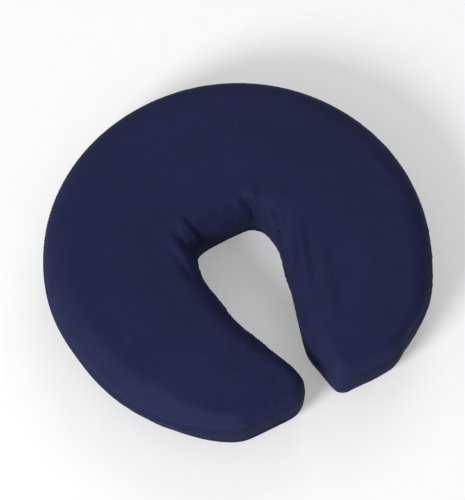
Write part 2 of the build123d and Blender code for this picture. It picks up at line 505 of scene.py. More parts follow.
def form_skin(line):
    """The cushion's plain closed shape, with no seams or hem, that the cloth is tried on."""
    profile = [(FLAT_INSET, TOP - CROWN)]
    for a in np.linspace(math.pi / 2, 0, FORM_RIM_STEPS):
        profile.append((RIM_INSET * (1 - math.cos(a)), TOP - CROWN - RIM_DROP * (1 - math.sin(a))))
    profile += wall_profile(profile[-1][1], COVER_LOW + FOOT_RISE, gap=0.0, steps=6)
    profile += foot_profile(COVER_LOW, gap=0.0, steps=7)
    profile.append((FLAT_INSET, COVER_LOW))
    return Skin(line, profile, CROWN, OVER_ALL, BELOW_ALL, closed_below=True)


def evaluated(obj):
    """Points and polygons of an object with its modifiers, as they are on this frame."""
    mesh = bpy.data.meshes.new_from_object(obj.evaluated_get(bpy.context.evaluated_depsgraph_get()))
    points = read_points(mesh)
    faces = [list(p.vertices) for p in mesh.polygons]
    normals = np.zeros(len(points) * 3)
    mesh.vertices.foreach_get("normal", normals)
    bpy.data.meshes.remove(mesh)
    return points, faces, normals.reshape(-1, 3)


def slack(points):
    """Weights of the shrink group: loose cloth round the opening's crown, pulled cloth at the hem."""
    y = points[:, 1] - CENTRE_Y
    beside = ease((LOOSE_HALF - np.abs(points[:, 0] - LOOSE_X)) / LOOSE_SIDE_FADE)
    crown = ease((y - LOOSE_FROM_Y) / LOOSE_FROM_FADE) * ease((LOOSE_TO_Y - y) / LOOSE_TO_FADE)
    high = ease((points[:, 2] - LOOSE_Z) / LOOSE_Z_FADE)
    pulled = ease((PULLED_Z - points[:, 2]) / PULLED_FADE)
    return np.clip(BODY_WEIGHT * (1 - beside * crown * high) + (1 - BODY_WEIGHT) * pulled, 0, 1)


def settle(line):
    """Tries the cloth on the pad. Gives the places on the form and how far each of them moves."""
    skin = form_skin(line)
    form = mesh_object("cloth_on_pad", skin.points, skin.faces)
    even = form.modifiers.new("even", "REMESH")
    even.mode = "VOXEL"
    even.voxel_size = FORM_VOXEL
    points, faces, normals = evaluated(form)
    pad = mesh_object("pad_under_cloth", points - normals * PAD_GAP, faces)
    pad.modifiers.new("solid", "COLLISION")
    pad.collision.thickness_outer = PAD_SKIN
    pad.collision.cloth_friction = PAD_FRICTION
    bpy.data.objects.remove(form)
    cloth = mesh_object("cloth_on_pad", points - normals * FORM_SHRINK, faces)
    group = cloth.vertex_groups.new(name="shrink")
    for index, weight in enumerate(slack(points).tolist()):
        group.add([index], weight, "REPLACE")
    fit = cloth.modifiers.new("fit", "CLOTH")
    for key, value in CLOTH_SETTINGS.items():
        setattr(fit.settings, key, value)
    fit.settings.effector_weights.gravity = 0
    fit.collision_settings.distance_min = CLOTH_DISTANCE
    fit.point_cache.frame_start = 1
    fit.point_cache.frame_end = CLOTH_FRAMES
    for step in range(1, CLOTH_FRAMES + 1):
        bpy.context.scene.frame_set(step)
    final, _, _ = evaluated(cloth)
    bpy.data.objects.remove(cloth)
    bpy.data.objects.remove(pad)
    bpy.context.scene.frame_set(1)
    move = final - points
    far = np.linalg.norm(move, axis=1)[:, None]
    move *= LARGEST_MOVE * np.tanh(far / LARGEST_MOVE) / np.maximum(far, 1e-9)
    out = np.einsum("ij,ij->i", move, normals)
    move += normals * (np.maximum(out, -LARGEST_DIP) - out)[:, None]
    taut = ease((normals[:, 2] - TAUT_FROM) / TAUT_FADE)
    crown_wall = ease((-normals[:, 1] - CROWN_WALL_FROM) / CROWN_WALL_FADE)
    crown_wall *= ease((points[:, 1] - CENTRE_Y) / CROWN_WALL_Y_FADE)
    kept = (1 - (1 - TAUT_SHARE) * taut) * (1 - (1 - CROWN_WALL_SHARE) * crown_wall)
    return points, move * kept[:, None]


def follow(points, settled):
    """How far the settled cloth moves at any points beside it."""
    places, move = settled
    tree = KDTree(len(places))
    for index, place in enumerate(places.tolist()):
        tree.insert(place, index)
    tree.balance()
    found = [tree.find_n(p, NEIGHBOURS) for p in points.tolist()]
    index = np.array([[f[1] for f in row] for row in found])
    gap = np.array([[f[2] for f in row] for row in found])
    weight = 1 / (gap + MM) ** 2
    return (move[index] * weight[..., None]).sum(1) / weight.sum(1)[:, None]


# ---------------------------------------------------------------- stitches
STITCH_SIDES = 6
STITCH_STATIONS = np.array([-0.5, -0.36, 0.0, 0.36, 0.5])
STITCH_WIDTHS = np.array([0.35, 0.85, 1.0, 0.85, 0.35])
STITCH_DIPS = np.array([1.5, 0.5, 0.0, 0.5, 1.5])
STITCH_AHEAD = 0.3 * MM  # along the path, for its direction
COVER_STITCH = {"spacing": 3.0 * MM, "length": 2.3 * MM, "radius": 0.24 * MM, "lift": 0.1 * MM}
HEM_STITCH = {"spacing": 3.2 * MM, "length": 2.6 * MM, "radius": 0.22 * MM, "lift": 0.08 * MM}
VINYL_STITCH = {"spacing": 3.6 * MM, "length": 2.9 * MM, "radius": 0.3 * MM, "lift": 0.1 * MM}
TAPE_STITCH = {"spacing": 2.6 * MM, "length": 2.0 * MM, "radius": 0.22 * MM, "lift": 0.0}


def round_loop(values, lengths, places):
    """A closed loop's values at places along it."""
    total = lengths[-1]
    closed = np.vstack([values, values[:1]])
    return np.stack([np.interp(places % total, lengths, column) for column in closed.T], axis=-1)


def stitch_row(name, path, out, spacing, length, radius, lift):
    """A row of stitches along a closed path; out points away from the cloth."""
    steps = np.linalg.norm(np.roll(path, -1, axis=0) - path, axis=1)
    lengths = np.r_[0, np.cumsum(steps)]
    count = int(round(lengths[-1] / spacing))
    places = np.arange(count)[:, None] * lengths[-1] / count + STITCH_STATIONS[None] * length
    centre = round_loop(path, lengths, places)
    away = round_loop(out, lengths, places)
    away /= np.linalg.norm(away, axis=-1, keepdims=True)
    along = round_loop(path, lengths, places + STITCH_AHEAD) - centre
    along /= np.linalg.norm(along, axis=-1, keepdims=True)
    side = np.cross(along, away)
    centre = centre + away * (lift - STITCH_DIPS[None, :, None] * radius)
    angles = 2 * math.pi * np.arange(STITCH_SIDES) / STITCH_SIDES
    reach = radius * STITCH_WIDTHS[None, :, None, None]
    rim = np.cos(angles)[:, None] * away[:, :, None] + np.sin(angles)[:, None] * side[:, :, None]
    points = (centre[:, :, None] + reach * rim).reshape(-1, 3)
    stations = len(STITCH_STATIONS)
    k = np.arange(STITCH_SIDES)
    tube = []
    for j in range(stations - 1):
        near = j * STITCH_SIDES + k
        near_next = j * STITCH_SIDES + (k + 1) % STITCH_SIDES
        tube.append(np.stack([near, near_next, near_next + STITCH_SIDES, near + STITCH_SIDES], axis=-1))
    last = (stations - 1) * STITCH_SIDES
    tube.append(np.array([[0, 3, 2, 1], [0, 5, 4, 3]]))
    tube.append(last + np.array([[0, 1, 2, 3], [0, 3, 4, 5]]))
    tube = np.vstack(tube)
    size = stations * STITCH_SIDES
    faces = (np.arange(count)[:, None, None] * size + tube[None]).reshape(-1, 4)
    return mesh_object(name, points, faces)


# ---------------------------------------------------------------- the cover
RIM_SEAM_ROOM = 2.5 * MM  # beside a seam on the rim, left free for its own close rings


def rim_profile(top, gap, steps, seam):
    """Over the rim, from the flat top down to the wall, with close rings beside the seam."""
    inset = RIM_INSET - gap
    drop = RIM_DROP - gap
    heights = [top - drop + drop * math.sin(a) for a in np.linspace(math.pi / 2, 0, steps)]
    close = [seam + step for step in SEAM_STEPS]
    heights = [z for z in heights if abs(z - seam) > RIM_SEAM_ROOM] + [z for z in close if z > top - drop]
    out = [(FLAT_INSET, top)]
    for z in sorted(heights, reverse=True):
        rise = min(1.0, (z - top + drop) / drop)
        out.append((gap + inset * (1 - math.sqrt(1 - rise**2)), z))
    return out


def foot_profile(low, gap, steps):
    """Round the foot, from the wall in under the cushion."""
    inset = FOOT_INSET - gap
    angles = np.linspace(0, math.pi / 2, steps)
    return [(gap + inset * (1 - math.cos(a)), low + FOOT_RISE * (1 - math.sin(a))) for a in angles]


def wall_profile(high, low, gap, steps):
    """Down the wall, swollen a little in the middle."""
    shares = np.linspace(0, 1, steps + 1)[1:-1]
    return [(gap - WALL_SWELL * math.sin(math.pi * t), high + (low - high) * t) for t in shares]


def nearest_ring(profile, height):
    """Which ring of a profile's rim and wall lies at a seam's height."""
    return int(np.argmin([abs(z - height) for _, z in profile]))


# The casing: a flat tube of cloth round the elastic, as (inset, height) in mm on from the cover's skin
CASING = [(16.2, 2.0), (17.0, 1.9), (17.8, 1.6), (18.6, 0.9), (20.0, 0.45), (22.5, 0.35), (25.2, 0.45)]
CASING += [(26.6, 1.0), (27.2, 1.9), (26.4, 2.7), (24.0, 3.0), (21.0, 2.95), (19.4, 2.8)]
CASING_START = 1  # the row of stitches goes along this ring


def cover_profile():
    profile = rim_profile(TOP - CROWN, gap=0.0, steps=11, seam=COVER_SEAM_Z)
    profile += wall_profile(profile[-1][1], COVER_LOW + FOOT_RISE, gap=0.0, steps=7)
    profile += foot_profile(COVER_LOW, gap=0.0, steps=8)
    profile += [(inset * MM, z * MM) for inset, z in CASING]
    return profile


# Folds that the hem's pull leaves where the cover turns into the opening: points from the centre of the
# round edge, in mm; half width; height, below 0 for a valley
RIGHT_FOLDS = [
    ([(21, 39, 58), (26, 34, 53), (31, 28, 40), (33, 24, 20)], 3.2, -2.1),
    ([(30, 39, 58), (34, 31, 52), (37, 22, 38), (36, 14, 22)], 4.2, 3.4),
    ([(42, 18, 55), (40.7, 10.9, 51), (38, 3, 45), (35, -6, 35)], 3.4, -5.0),
    ([(46, 14, 56), (43, 3, 52), (38, -12, 45), (33, -26, 34)], 3.2, 2.6),
    ([(45, -6, 56), (40.8, -18.6, 53.5), (35, -31, 48), (28.7, -43, 44)], 3.3, -4.2),
    ([(53, -4, 59), (47.5, -22, 57.5), (38, -47, 55), (28.1, -71.5, 52.5)], 3.8, 2.2),
    ([(58, -12, 59.5), (52.4, -26, 59), (40, -58, 57.5), (27.7, -86, 55)], 3.4, -1.4),
    ([(64, -22, 60), (55, -48, 59.5), (44, -76, 59), (34, -100, 58)], 4.5, 1.1),
]
LEFT_FOLDS = [
    ([(-25, 41, 58), (-26, 35, 53), (-25, 28, 40), (-22, 26, 22)], 3.0, -1.5),
    ([(-33, 43, 58), (-32, 36, 53), (-30, 29, 42), (-28, 26, 24)], 3.6, 2.4),
    ([(-41, 34, 57), (-40, 26, 53), (-39.5, 17, 50), (-37, 4, 42)], 2.9, -2.0),
    ([(-47, 34, 58), (-46, 22, 56.5), (-44, 8, 54), (-40, -10, 48)], 3.6, 1.6),
    ([(-52, 26, 59.5), (-50, 10, 58), (-46, -8, 55.5), (-40, -24, 50)], 3.0, -0.9),
]


def fold(skin, keep_ridges=True):
    """Works the folds into a skin. The pad under them takes only the valleys."""
    tree = BVHTree.FromPolygons(skin.points.tolist(), skin.faces.tolist())
    normals = point_normals(skin.points, skin.faces)
    move = np.zeros(len(skin.points))
    for points, width, height in RIGHT_FOLDS + LEFT_FOLDS:
        if keep_ridges or height < 0:
            near, amount = crease(skin, tree, points, width * MM, height * MM)
            move[near] += amount
    skin.points += normals * move[:, None]


def round_place(points):
    """How far round the horseshoe a point is, from 0 to 1, by its angle about a point in the opening."""
    return np.arctan2(points[:, 1] - CENTRE_Y, points[:, 0]) / (2 * math.pi) + 0.5


SEAM_WIDTH = 0.65 * MM
PUCKER_WIDTH = 3.5 * MM
PUCKER_WAVES = [(60, 0.3), (130, 0.35), (210, 0.25)]
WALL_SLOPE = 0.8  # a normal's height, at most, where the skin counts as wall
JOINT_WIDTH = 0.9 * MM
JOINT_FROM_END = 12 * MM  # upright seams lie nearer than this to the arms' ends
JOINT_FADE = 6 * MM
JOINT_TAIL = 8 * MM  # how far the cover's upright seams run on into the hem


def seam_groove(skin, seam, depth, pucker, seed):
    """Draws the skin in along a level seam, unevenly, as the thread's tension does."""
    points = skin.points
    normals = point_normals(points, skin.faces)
    level = points[:, 2] - seam
    on_wall = np.abs(normals[:, 2]) < WALL_SLOPE
    uneven = wander(round_place(points), seed, PUCKER_WAVES)
    move = -depth * bump(level, SEAM_WIDTH) - pucker * (0.5 + uneven) * bump(level, PUCKER_WIDTH)
    skin.points = points + normals * (move * on_wall)[:, None]


def joint_groove(skin, depth, high, low):
    """Draws the skin in along the upright seams between the outer and inner bands."""
    points = skin.points
    normals = point_normals(points, skin.faces)
    at_end = ease((CHIN_Y + JOINT_FROM_END - (points[:, 1] - CENTRE_Y)) / JOINT_FADE)
    between = ease((high - points[:, 2]) / MM) * ease((points[:, 2] - low) / MM)
    move = -depth * bump(np.abs(points[:, 0]) - BAND_SEAM_X, JOINT_WIDTH) * at_end * between
    skin.points = points + normals * move[:, None]


RIPPLE = 0.6 * MM
RIPPLE_LIFT = 0.67  # of a ripple's height; what the cushion rests on keeps them from hanging down
RIPPLE_SIDEWAYS = 0.6  # of a ripple's height
RIPPLE_WAVES = [(70, 0.35), (105, 0.4), (150, 0.25)]
RIPPLE_TOP = 14.0 * MM  # they start at this height and grow downwards
RIPPLE_LEAST = 0.25  # share that is left in the opening, where little cloth is gathered
RIPPLE_FROM, RIPPLE_FADE = 70 * MM, 30 * MM  # from the centre, where they grow to their full height
CASING_CLEAR = 0.3 * MM  # from the floor up to the hem, before it ripples


def gathered(points):
    """Points under the cushion moved with the ripples of the cloth that the elastic draws up."""
    p = points.copy()
    radius = np.hypot(p[:, 0], p[:, 1] - CENTRE_Y)
    outer = ease((radius - RIPPLE_FROM) / RIPPLE_FADE)
    ripple = np.tanh(wander(round_place(p), seed=12, waves=RIPPLE_WAVES))
    under = ease(1 - p[:, 2] / RIPPLE_TOP)
    height = RIPPLE * (RIPPLE_LEAST + (1 - RIPPLE_LEAST) * outer) * under
    p[:, 2] += (RIPPLE_LIFT + ripple) * height
    away = np.c_[p[:, 0], p[:, 1] - CENTRE_Y] / np.maximum(radius, MM)[:, None]
    p[:, :2] += away * (RIPPLE_SIDEWAYS * ripple * height)[:, None]
    return p


def seam_path(skin, ring):
    """The points and outward directions of one of a skin's rings."""
    chosen = slice(ring * RING, (ring + 1) * RING)
    return skin.points[chosen], point_normals(skin.points, skin.faces)[chosen]


def make_cover(line, settled):
    profile = cover_profile()
    skin = subdivided(Skin(line, profile, CROWN, COVER_SEAM_Z, HEM_Z))
    if settled:
        skin.points += follow(skin.points, settled)
        skin.points[:, 2] = np.maximum(skin.points[:, 2], CASING_CLEAR)
    fold(skin)
    seam_groove(skin, COVER_SEAM_Z, depth=0.5 * MM, pucker=0.2 * MM, seed=11)
    joint_groove(skin, depth=0.5 * MM, high=COVER_SEAM_Z, low=HEM_Z - JOINT_TAIL)
    hem = np.unique(skin.faces[skin.panels == LOWER_PANEL])
    skin.points[hem] = gathered(skin.points[hem])
    normals = point_normals(skin.points, skin.faces)
    pieces = {
        "top": sheet_piece("cover_top", skin, [TOP_PANEL], CLOTH, normals),
        "outer": sheet_piece("cover_outer_wall", skin, [OUTER_BAND], CLOTH, normals),
        "inner": sheet_piece("cover_inner_wall", skin, [INNER_BAND], CLOTH, normals),
        "hem": sheet_piece("cover_gathered_hem", skin, [LOWER_PANEL], HEM_CLOTH, normals),
    }
    path, out = seam_path(skin, nearest_ring(profile, COVER_SEAM_Z))
    pieces["seam"] = stitch_row("cover_seam_stitches", path, out, **COVER_STITCH)
    path, out = seam_path(skin, len(profile) - len(CASING) + CASING_START)
    pieces["row"] = stitch_row("hem_stitches", path, out, **HEM_STITCH)
    return pieces


# The elastic's section, as (inset, height) in mm
ELASTIC_SECTION = [(20.5, 1.15), (23.0, 1.15), (25.5, 1.15), (25.8, 1.45), (25.5, 1.8), (23.0, 1.8)]
ELASTIC_SECTION += [(20.5, 1.8), (20.2, 1.45)]
ELASTIC_CRIMP = 0.12 * MM
ELASTIC_SINK = 0.1 * MM  # the most that it settles downwards, with the casing's lower cloth under it
CRIMP_POINTS = 6  # of the ring, to one crimp


def make_elastic(line, settled):
    """The flat elastic inside the hem's casing, crimped where it has drawn up."""
    crimp = ELASTIC_CRIMP * np.sin(2 * math.pi * np.arange(RING) / CRIMP_POINTS)
    rings = [np.c_[inset_ring(line, inset * MM, under=True), z * MM + crimp] for inset, z in ELASTIC_SECTION]
    here = np.arange(RING)
    faces = []
    for r in range(len(rings)):
        upper = r * RING + here
        lower = (r + 1) % len(rings) * RING + here
        faces.append(np.stack([upper, lower, np.roll(lower, -1), np.roll(upper, -1)], axis=-1))
    points = np.vstack(rings) + [0, CENTRE_Y, 0]
    if settled:
        move = follow(points, settled)
        move[:, 2] = np.maximum(move[:, 2], -ELASTIC_SINK)
        points += move
    return mesh_object("hem_elastic_band", gathered(points), np.vstack(faces))


# ---------------------------------------------------------------- the upholstery
VINYL_GAP = 2.8 * MM  # from the cover's outside to the vinyl's
VINYL = 1.2 * MM
FOAM_GAP = VINYL_GAP + VINYL + 1.2 * MM
FLAT_DEPTH = 0.05 * MM  # within this of its lowest height, the underside counts as flat
HEM_ROOM = 4.7 * MM  # height of the vinyl over the hem, which presses into it
# Where the hollow over the hem steps down to the underside, as (inset, height)
HEM_STEP = [(20 * MM, HEM_ROOM), (28.2 * MM, HEM_ROOM), (29.2 * MM, HEM_ROOM - 0.6 * MM)]
HEM_STEP += [(30.2 * MM, UNDERSIDE + 0.2 * MM), (31.2 * MM, UNDERSIDE)]
LOW_SEAM_ROOM = 2.2 * MM  # the same beside the low seam


def vinyl_profile():
    top = TOP - CROWN - VINYL_GAP
    profile = rim_profile(top, VINYL_GAP, steps=11, seam=VINYL_TOP_SEAM_Z)
    foot = foot_profile(HEM_ROOM, VINYL_GAP, steps=9)
    profile += wall_profile(profile[-1][1], foot[0][1], VINYL_GAP, steps=6)
    inset = FOOT_INSET - VINYL_GAP
    foot = [p for p in foot if abs(p[1] - VINYL_LOW_SEAM_Z) > LOW_SEAM_ROOM]
    for step in SEAM_STEPS:
        z = VINYL_LOW_SEAM_Z + step
        drop = np.clip(1 - (z - HEM_ROOM) / FOOT_RISE, 0, 1)
        foot.append((VINYL_GAP + inset * (1 - math.sqrt(1 - drop**2)), z))
    profile += sorted(foot, key=lambda p: -p[1])
    return profile + HEM_STEP


def make_vinyl(line):
    profile = vinyl_profile()
    skin = Skin(line, profile, CROWN, VINYL_TOP_SEAM_Z, VINYL_LOW_SEAM_Z, VINYL_GAP, closed_below=True)
    subdivided(skin)
    fold(skin, keep_ridges=False)
    seam_groove(skin, VINYL_TOP_SEAM_Z, depth=0.9 * MM, pucker=0.35 * MM, seed=21)
    seam_groove(skin, VINYL_LOW_SEAM_Z, depth=0.9 * MM, pucker=0.3 * MM, seed=22)
    joint_groove(skin, depth=0.7 * MM, high=VINYL_TOP_SEAM_Z, low=VINYL_LOW_SEAM_Z)
    normals = point_normals(skin.points, skin.faces)
    normals[skin.points[:, 2] < UNDERSIDE + FLAT_DEPTH] = (0, 0, -1)
    pieces = {
        "top": sheet_piece("vinyl_top", skin, [TOP_PANEL], VINYL, normals),
        "outer": sheet_piece("vinyl_outer_wall", skin, [OUTER_BAND], VINYL, normals),
        "inner": sheet_piece("vinyl_inner_wall", skin, [INNER_BAND], VINYL, normals),
        "under": sheet_piece("vinyl_underside", skin, [LOWER_PANEL], VINYL, normals),
    }
    path, out = seam_path(skin, nearest_ring(profile, VINYL_TOP_SEAM_Z))
    pieces["high"] = stitch_row("vinyl_top_stitches", path, out, **VINYL_STITCH)
    path, out = seam_path(skin, nearest_ring(profile, VINYL_LOW_SEAM_Z))
    pieces["low"] = stitch_row("vinyl_low_stitches", path, out, **VINYL_STITCH)
    return pieces


FOAM_EDGE = [(1.2, 0.0), (0.3, 0.4), (0.0, 1.4)]  # rounding of a cut edge: inset and distance from it, in mm
FOAM_EDGE_ROOM = 2 * MM  # over the glue line, left free for the cut edge
FOAM_RIM_STEPS = 8
FOAM_FOOT_STEPS = 7
FOAM_FOOT_RISE = FOOT_RISE - 2.4 * MM
FOAM_LOW = HEM_ROOM + VINYL + 0.4 * MM  # over the hem
FOAM_LOWEST = UNDERSIDE + VINYL + 0.5 * MM  # and inside it
FOAM_STEP_INSET = 30 * MM  # from where it goes down from one to the other


def comfort_profile():
    """The upper layer: rounded rim, and a cut edge where it is glued."""
    high = TOP - CROWN - FOAM_GAP
    span = RIM_INSET - FOAM_GAP
    drop = RIM_DROP - FOAM_GAP
    profile = [(FLAT_INSET, high)]
    for a in np.linspace(math.pi / 2, 0, FOAM_RIM_STEPS):
        profile.append((FOAM_GAP + span * (1 - math.cos(a)), high - drop * (1 - math.sin(a))))
    profile = [p for p in profile if p[1] > GLUE_LINE + FOAM_EDGE_ROOM]
    profile += [(FOAM_GAP + i * MM, GLUE_LINE + z * MM) for i, z in reversed(FOAM_EDGE)]
    return profile + [(FLAT_INSET, GLUE_LINE)]


def support_profile():
    """The lower layer: a cut edge where it is glued, a rounded foot, and a hollow for the hem."""
    profile = [(FLAT_INSET, GLUE_LINE)]
    profile += [(FOAM_GAP + i * MM, GLUE_LINE - z * MM) for i, z in FOAM_EDGE]
    span = FOOT_INSET - FOAM_GAP
    for a in np.linspace(0, math.pi / 2, FOAM_FOOT_STEPS):
        height = FOAM_LOW + FOAM_FOOT_RISE * (1 - math.sin(a))
        profile.append((FOAM_GAP + span * (1 - math.cos(a)), height))
    return profile + [(FOAM_STEP_INSET, FOAM_LOW), (FLAT_INSET, FOAM_LOWEST)]


def make_foam(name, line, profile, crown):
    skin = Skin(line, profile, crown, OVER_ALL, BELOW_ALL, FOAM_GAP, closed_below=True)
    subdivided(skin)
    fold(skin, keep_ridges=False)
    return mesh_object(name, skin.points, skin.faces)


# ---------------------------------------------------------------- loop strips
TAPE_STEP = 0.9 * MM
TAPE_BORDER = 2.2 * MM
TAPE_BACKING = 1.3 * MM
TAPE_CORNER = 3.0 * MM
TAPE_CORNER_POINTS = 7
LOOP_DEPTH = 0.45 * MM


def rounded_grid(low, high, corner):
    """Grid points over a rectangle whose corners are rounded, and how far each lies inside the edge."""
    middle = (low + high) / 2
    half = (high - low) / 2
    counts = [int(math.ceil(2 * h / TAPE_STEP)) for h in half]
    axes = [np.linspace(-h, h, n + 1) for h, n in zip(half, counts)]
    x, y = np.meshgrid(*axes, indexing="ij")
    over_x = np.maximum(np.abs(x) - (half[0] - corner), 0)
    over_y = np.maximum(np.abs(y) - (half[1] - corner), 0)
    far = np.hypot(over_x, over_y)
    square = np.maximum(over_x, over_y)
    shrink = np.where(far > 0, square / np.maximum(far, 1e-9), 1.0)
    x = np.sign(x) * (np.abs(x) - over_x * (1 - shrink))
    y = np.sign(y) * (np.abs(y) - over_y * (1 - shrink))
    inside = np.minimum(half[0] - np.abs(axes[0])[:, None], half[1] - np.abs(axes[1])[None, :])
    return x + middle[0], y + middle[1], inside


def make_tape(name, node, seed):
    """A strip of loop tape: woven backing against the cushion, a looped face below, and a bare border."""
    low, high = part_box(node)
    corners = [np.array([p.x, p.y]) for p in (low, high)]
    x, y, inside = rounded_grid(*corners, TAPE_CORNER)
    random = np.random.default_rng(seed)
    loops = LOOP_DEPTH * random.random(x.shape)
    face = ease((inside - TAPE_BORDER) / MM)
    below = low.z + loops * face + (high.z - low.z - TAPE_BACKING) * (1 - face)
    above = np.full(x.shape, high.z)
    points = np.vstack([np.c_[x.ravel(), y.ravel(), z.ravel()] for z in (above, below)])
    rows, columns = x.shape
    index = np.arange(rows * columns).reshape(rows, columns)
    quads = np.stack([index[:-1, :-1], index[1:, :-1], index[1:, 1:], index[:-1, 1:]], axis=-1).reshape(-1, 4)
    edge = np.r_[index[:-1, 0], index[-1, :-1], index[:0:-1, -1], index[0, :0:-1]]
    after = np.roll(edge, -1)
    shift = rows * columns
    walls = np.stack([edge, edge + shift, after + shift, after], axis=-1)
    obj = mesh_object(name, points, np.vstack([quads, quads[:, ::-1] + shift, walls]))
    obj.data.set_sharp_from_angle(angle=SHARP_ANGLE)
    row = tape_stitches(name + "_stitches", corners, high.z - TAPE_BACKING)
    return obj, row


def tape_stitches(name, corners, height):
    """A row of stitches round the bare border, midway across it."""
    inset = TAPE_BORDER / 2
    corner = TAPE_CORNER - inset
    left, front = corners[0] + inset + corner
    right, back = corners[1] - inset - corner
    path = []
    for k, (x, y) in enumerate([(right, back), (left, back), (left, front), (right, front)]):
        for a in np.linspace(k * math.pi / 2, (k + 1) * math.pi / 2, TAPE_CORNER_POINTS):
            path.append((x + corner * math.cos(a), y + corner * math.sin(a), height))
    down = np.tile([0.0, 0.0, -1.0], (len(path), 1))
    return stitch_row(name, np.array(path), down, **TAPE_STITCH)


# ---------------------------------------------------------------- finishes


class Value:
    """What one node's socket gives. Sums on it add Math nodes."""

    def __init__(self, finish, socket):
        self.finish = finish
        self.socket = socket

    def math(self, operation, first, second=0.0):
        return self.finish.node("ShaderNodeMath", {"operation": operation}, {0: first, 1: second})

    def __add__(self, other):
        return self.math("ADD", self, other)

    __radd__ = __add__

    def __sub__(self, other):
        return self.math("SUBTRACT", self, other)

    def __rsub__(self, other):
        return self.math("SUBTRACT", other, self)

    def __mul__(self, other):
        return self.math("MULTIPLY", self, other)

    __rmul__ = __mul__

    def __truediv__(self, other):
        return self.math("DIVIDE", self, other)

    def size(self):
        return self.math("ABSOLUTE", self)


class Finish:
    """A material round one shader, built node by node."""

    def __init__(self, name, **constants):
        self.material = bpy.data.materials.new(name)
        self.material.use_nodes = True
        self.tree = self.material.node_tree
        self.shader = self.tree.nodes["Principled BSDF"]
        for socket, value in constants.items():
            self.shader.inputs[socket.replace("_", " ")].default_value = value
        self.place = self.node("ShaderNodeTexCoord", {}, {}, "Object")

    def node(self, kind, settings, values, output=0):
        """A node of a kind. Its settings come first, then the values or links of its sockets."""
        made = self.tree.nodes.new(kind)
        for key, value in settings.items():
            if key == "stops":
                ramp = made.color_ramp
                for _ in value[2:]:
                    ramp.elements.new(0.5)
                for element, (position, colour) in zip(ramp.elements, value):
                    element.position = position
                    element.color = (*colour, 1)
            else:
                setattr(made, key, value)
        for key, value in values.items():
            self.join(value, made.inputs[key])
        return Value(self, made.outputs[output])

    def join(self, value, socket):
        if isinstance(value, Value):
            self.tree.links.new(value.socket, socket)
        else:
            socket.default_value = value

    def noise(self, scale, detail=2.0, roughness=0.5, place=None):
        values = {"Vector": place or self.place, "Scale": scale, "Detail": detail, "Roughness": roughness}
        return self.node("ShaderNodeTexNoise", {}, values)

    def cells(self, scale, randomness=1.0, feature="F1"):
        values = {"Vector": self.place, "Scale": scale, "Randomness": randomness}
        return self.node("ShaderNodeTexVoronoi", {"feature": feature}, values)

    def ramp(self, factor, *stops):
        return self.node("ShaderNodeValToRGB", {"stops": stops}, {0: factor})

    def blend(self, factor, a, b):
        """Colour a where the factor is 0, and b where it is 1."""
        a, b = (c if isinstance(c, Value) else (*c, 1) for c in (a, b))
        return self.node("ShaderNodeMix", {"data_type": "RGBA"}, {0: factor, 6: a, 7: b}, 2)

    def stretched(self, scale):
        """The place, scaled by its own amount along each axis."""
        return self.node("ShaderNodeVectorMath", {"operation": "MULTIPLY"}, {0: self.place, 1: scale})

    def height(self):
        return self.node("ShaderNodeSeparateXYZ", {}, {0: self.place}, 2)

    def done(self, colour, roughness, relief, depth):
        self.join(colour, self.shader.inputs["Base Color"])
        self.join(roughness, self.shader.inputs["Roughness"])
        values = {"Strength": 1.0, "Distance": depth, "Height": relief}
        self.join(self.node("ShaderNodeBump", {}, values, "Normal"), self.shader.inputs["Normal"])
        return self.material


NAVY = (0.0164, 0.0196, 0.0580)
NAVY_DARK = (0.0146, 0.0175, 0.0525)
NAVY_LIGHT = (0.0188, 0.0223, 0.0650)
NAVY_WORN = (0.0230, 0.0270, 0.0690)


def band(value, centre, half, soft):
    """1 where a value is within half of a centre, fading to 0 over soft."""
    return clamp01((half + soft - (value - centre).size()) / soft)


def clamp01(value):
    return value.finish.node("ShaderNodeClamp", {}, {0: value})


def microfibre(name, depth):
    """Brushed navy microfibre: a short nap that lies lighter and darker in soft patches. depth scales the
    whole colour; below 1 it is painted shade.
    """
    dark, middle, light = ([c * depth for c in shade] for shade in (NAVY_DARK, NAVY, NAVY_LIGHT))
    f = Finish(name, Specular_IOR_Level=0.02)
    patches = f.noise(11.0, 3.0, 0.55)
    strokes = f.noise(1.0, 3.0, 0.6, f.stretched((38.0, 95.0, 60.0)))
    fibre = f.noise(1500.0, 3.0, 0.7)
    pile = f.cells(1050.0)
    tufts = f.noise(320.0, 2.0, 0.6)
    shade = 0.45 * patches + 0.25 * strokes + 0.15 * tufts + 0.15 * fibre
    colour = f.ramp(shade, (0.36, dark), (0.5, middle), (0.64, light))
    height = f.height()
    rubbed = band(height, COVER_SEAM_Z, 0.9 * MM, 1.6 * MM) * fibre * 0.5
    scuffed = clamp01((5.0 * MM - height) / (4.0 * MM)) * tufts * 0.35
    colour = f.blend(clamp01(rubbed + scuffed), colour, NAVY_WORN)
    roughness = 0.54 + 0.10 * fibre + 0.06 * (patches - 0.5)
    relief = 0.5 * fibre + 0.35 * (1 - pile) + 0.3 * tufts
    return f.done(colour, roughness, relief, 0.16 * MM)


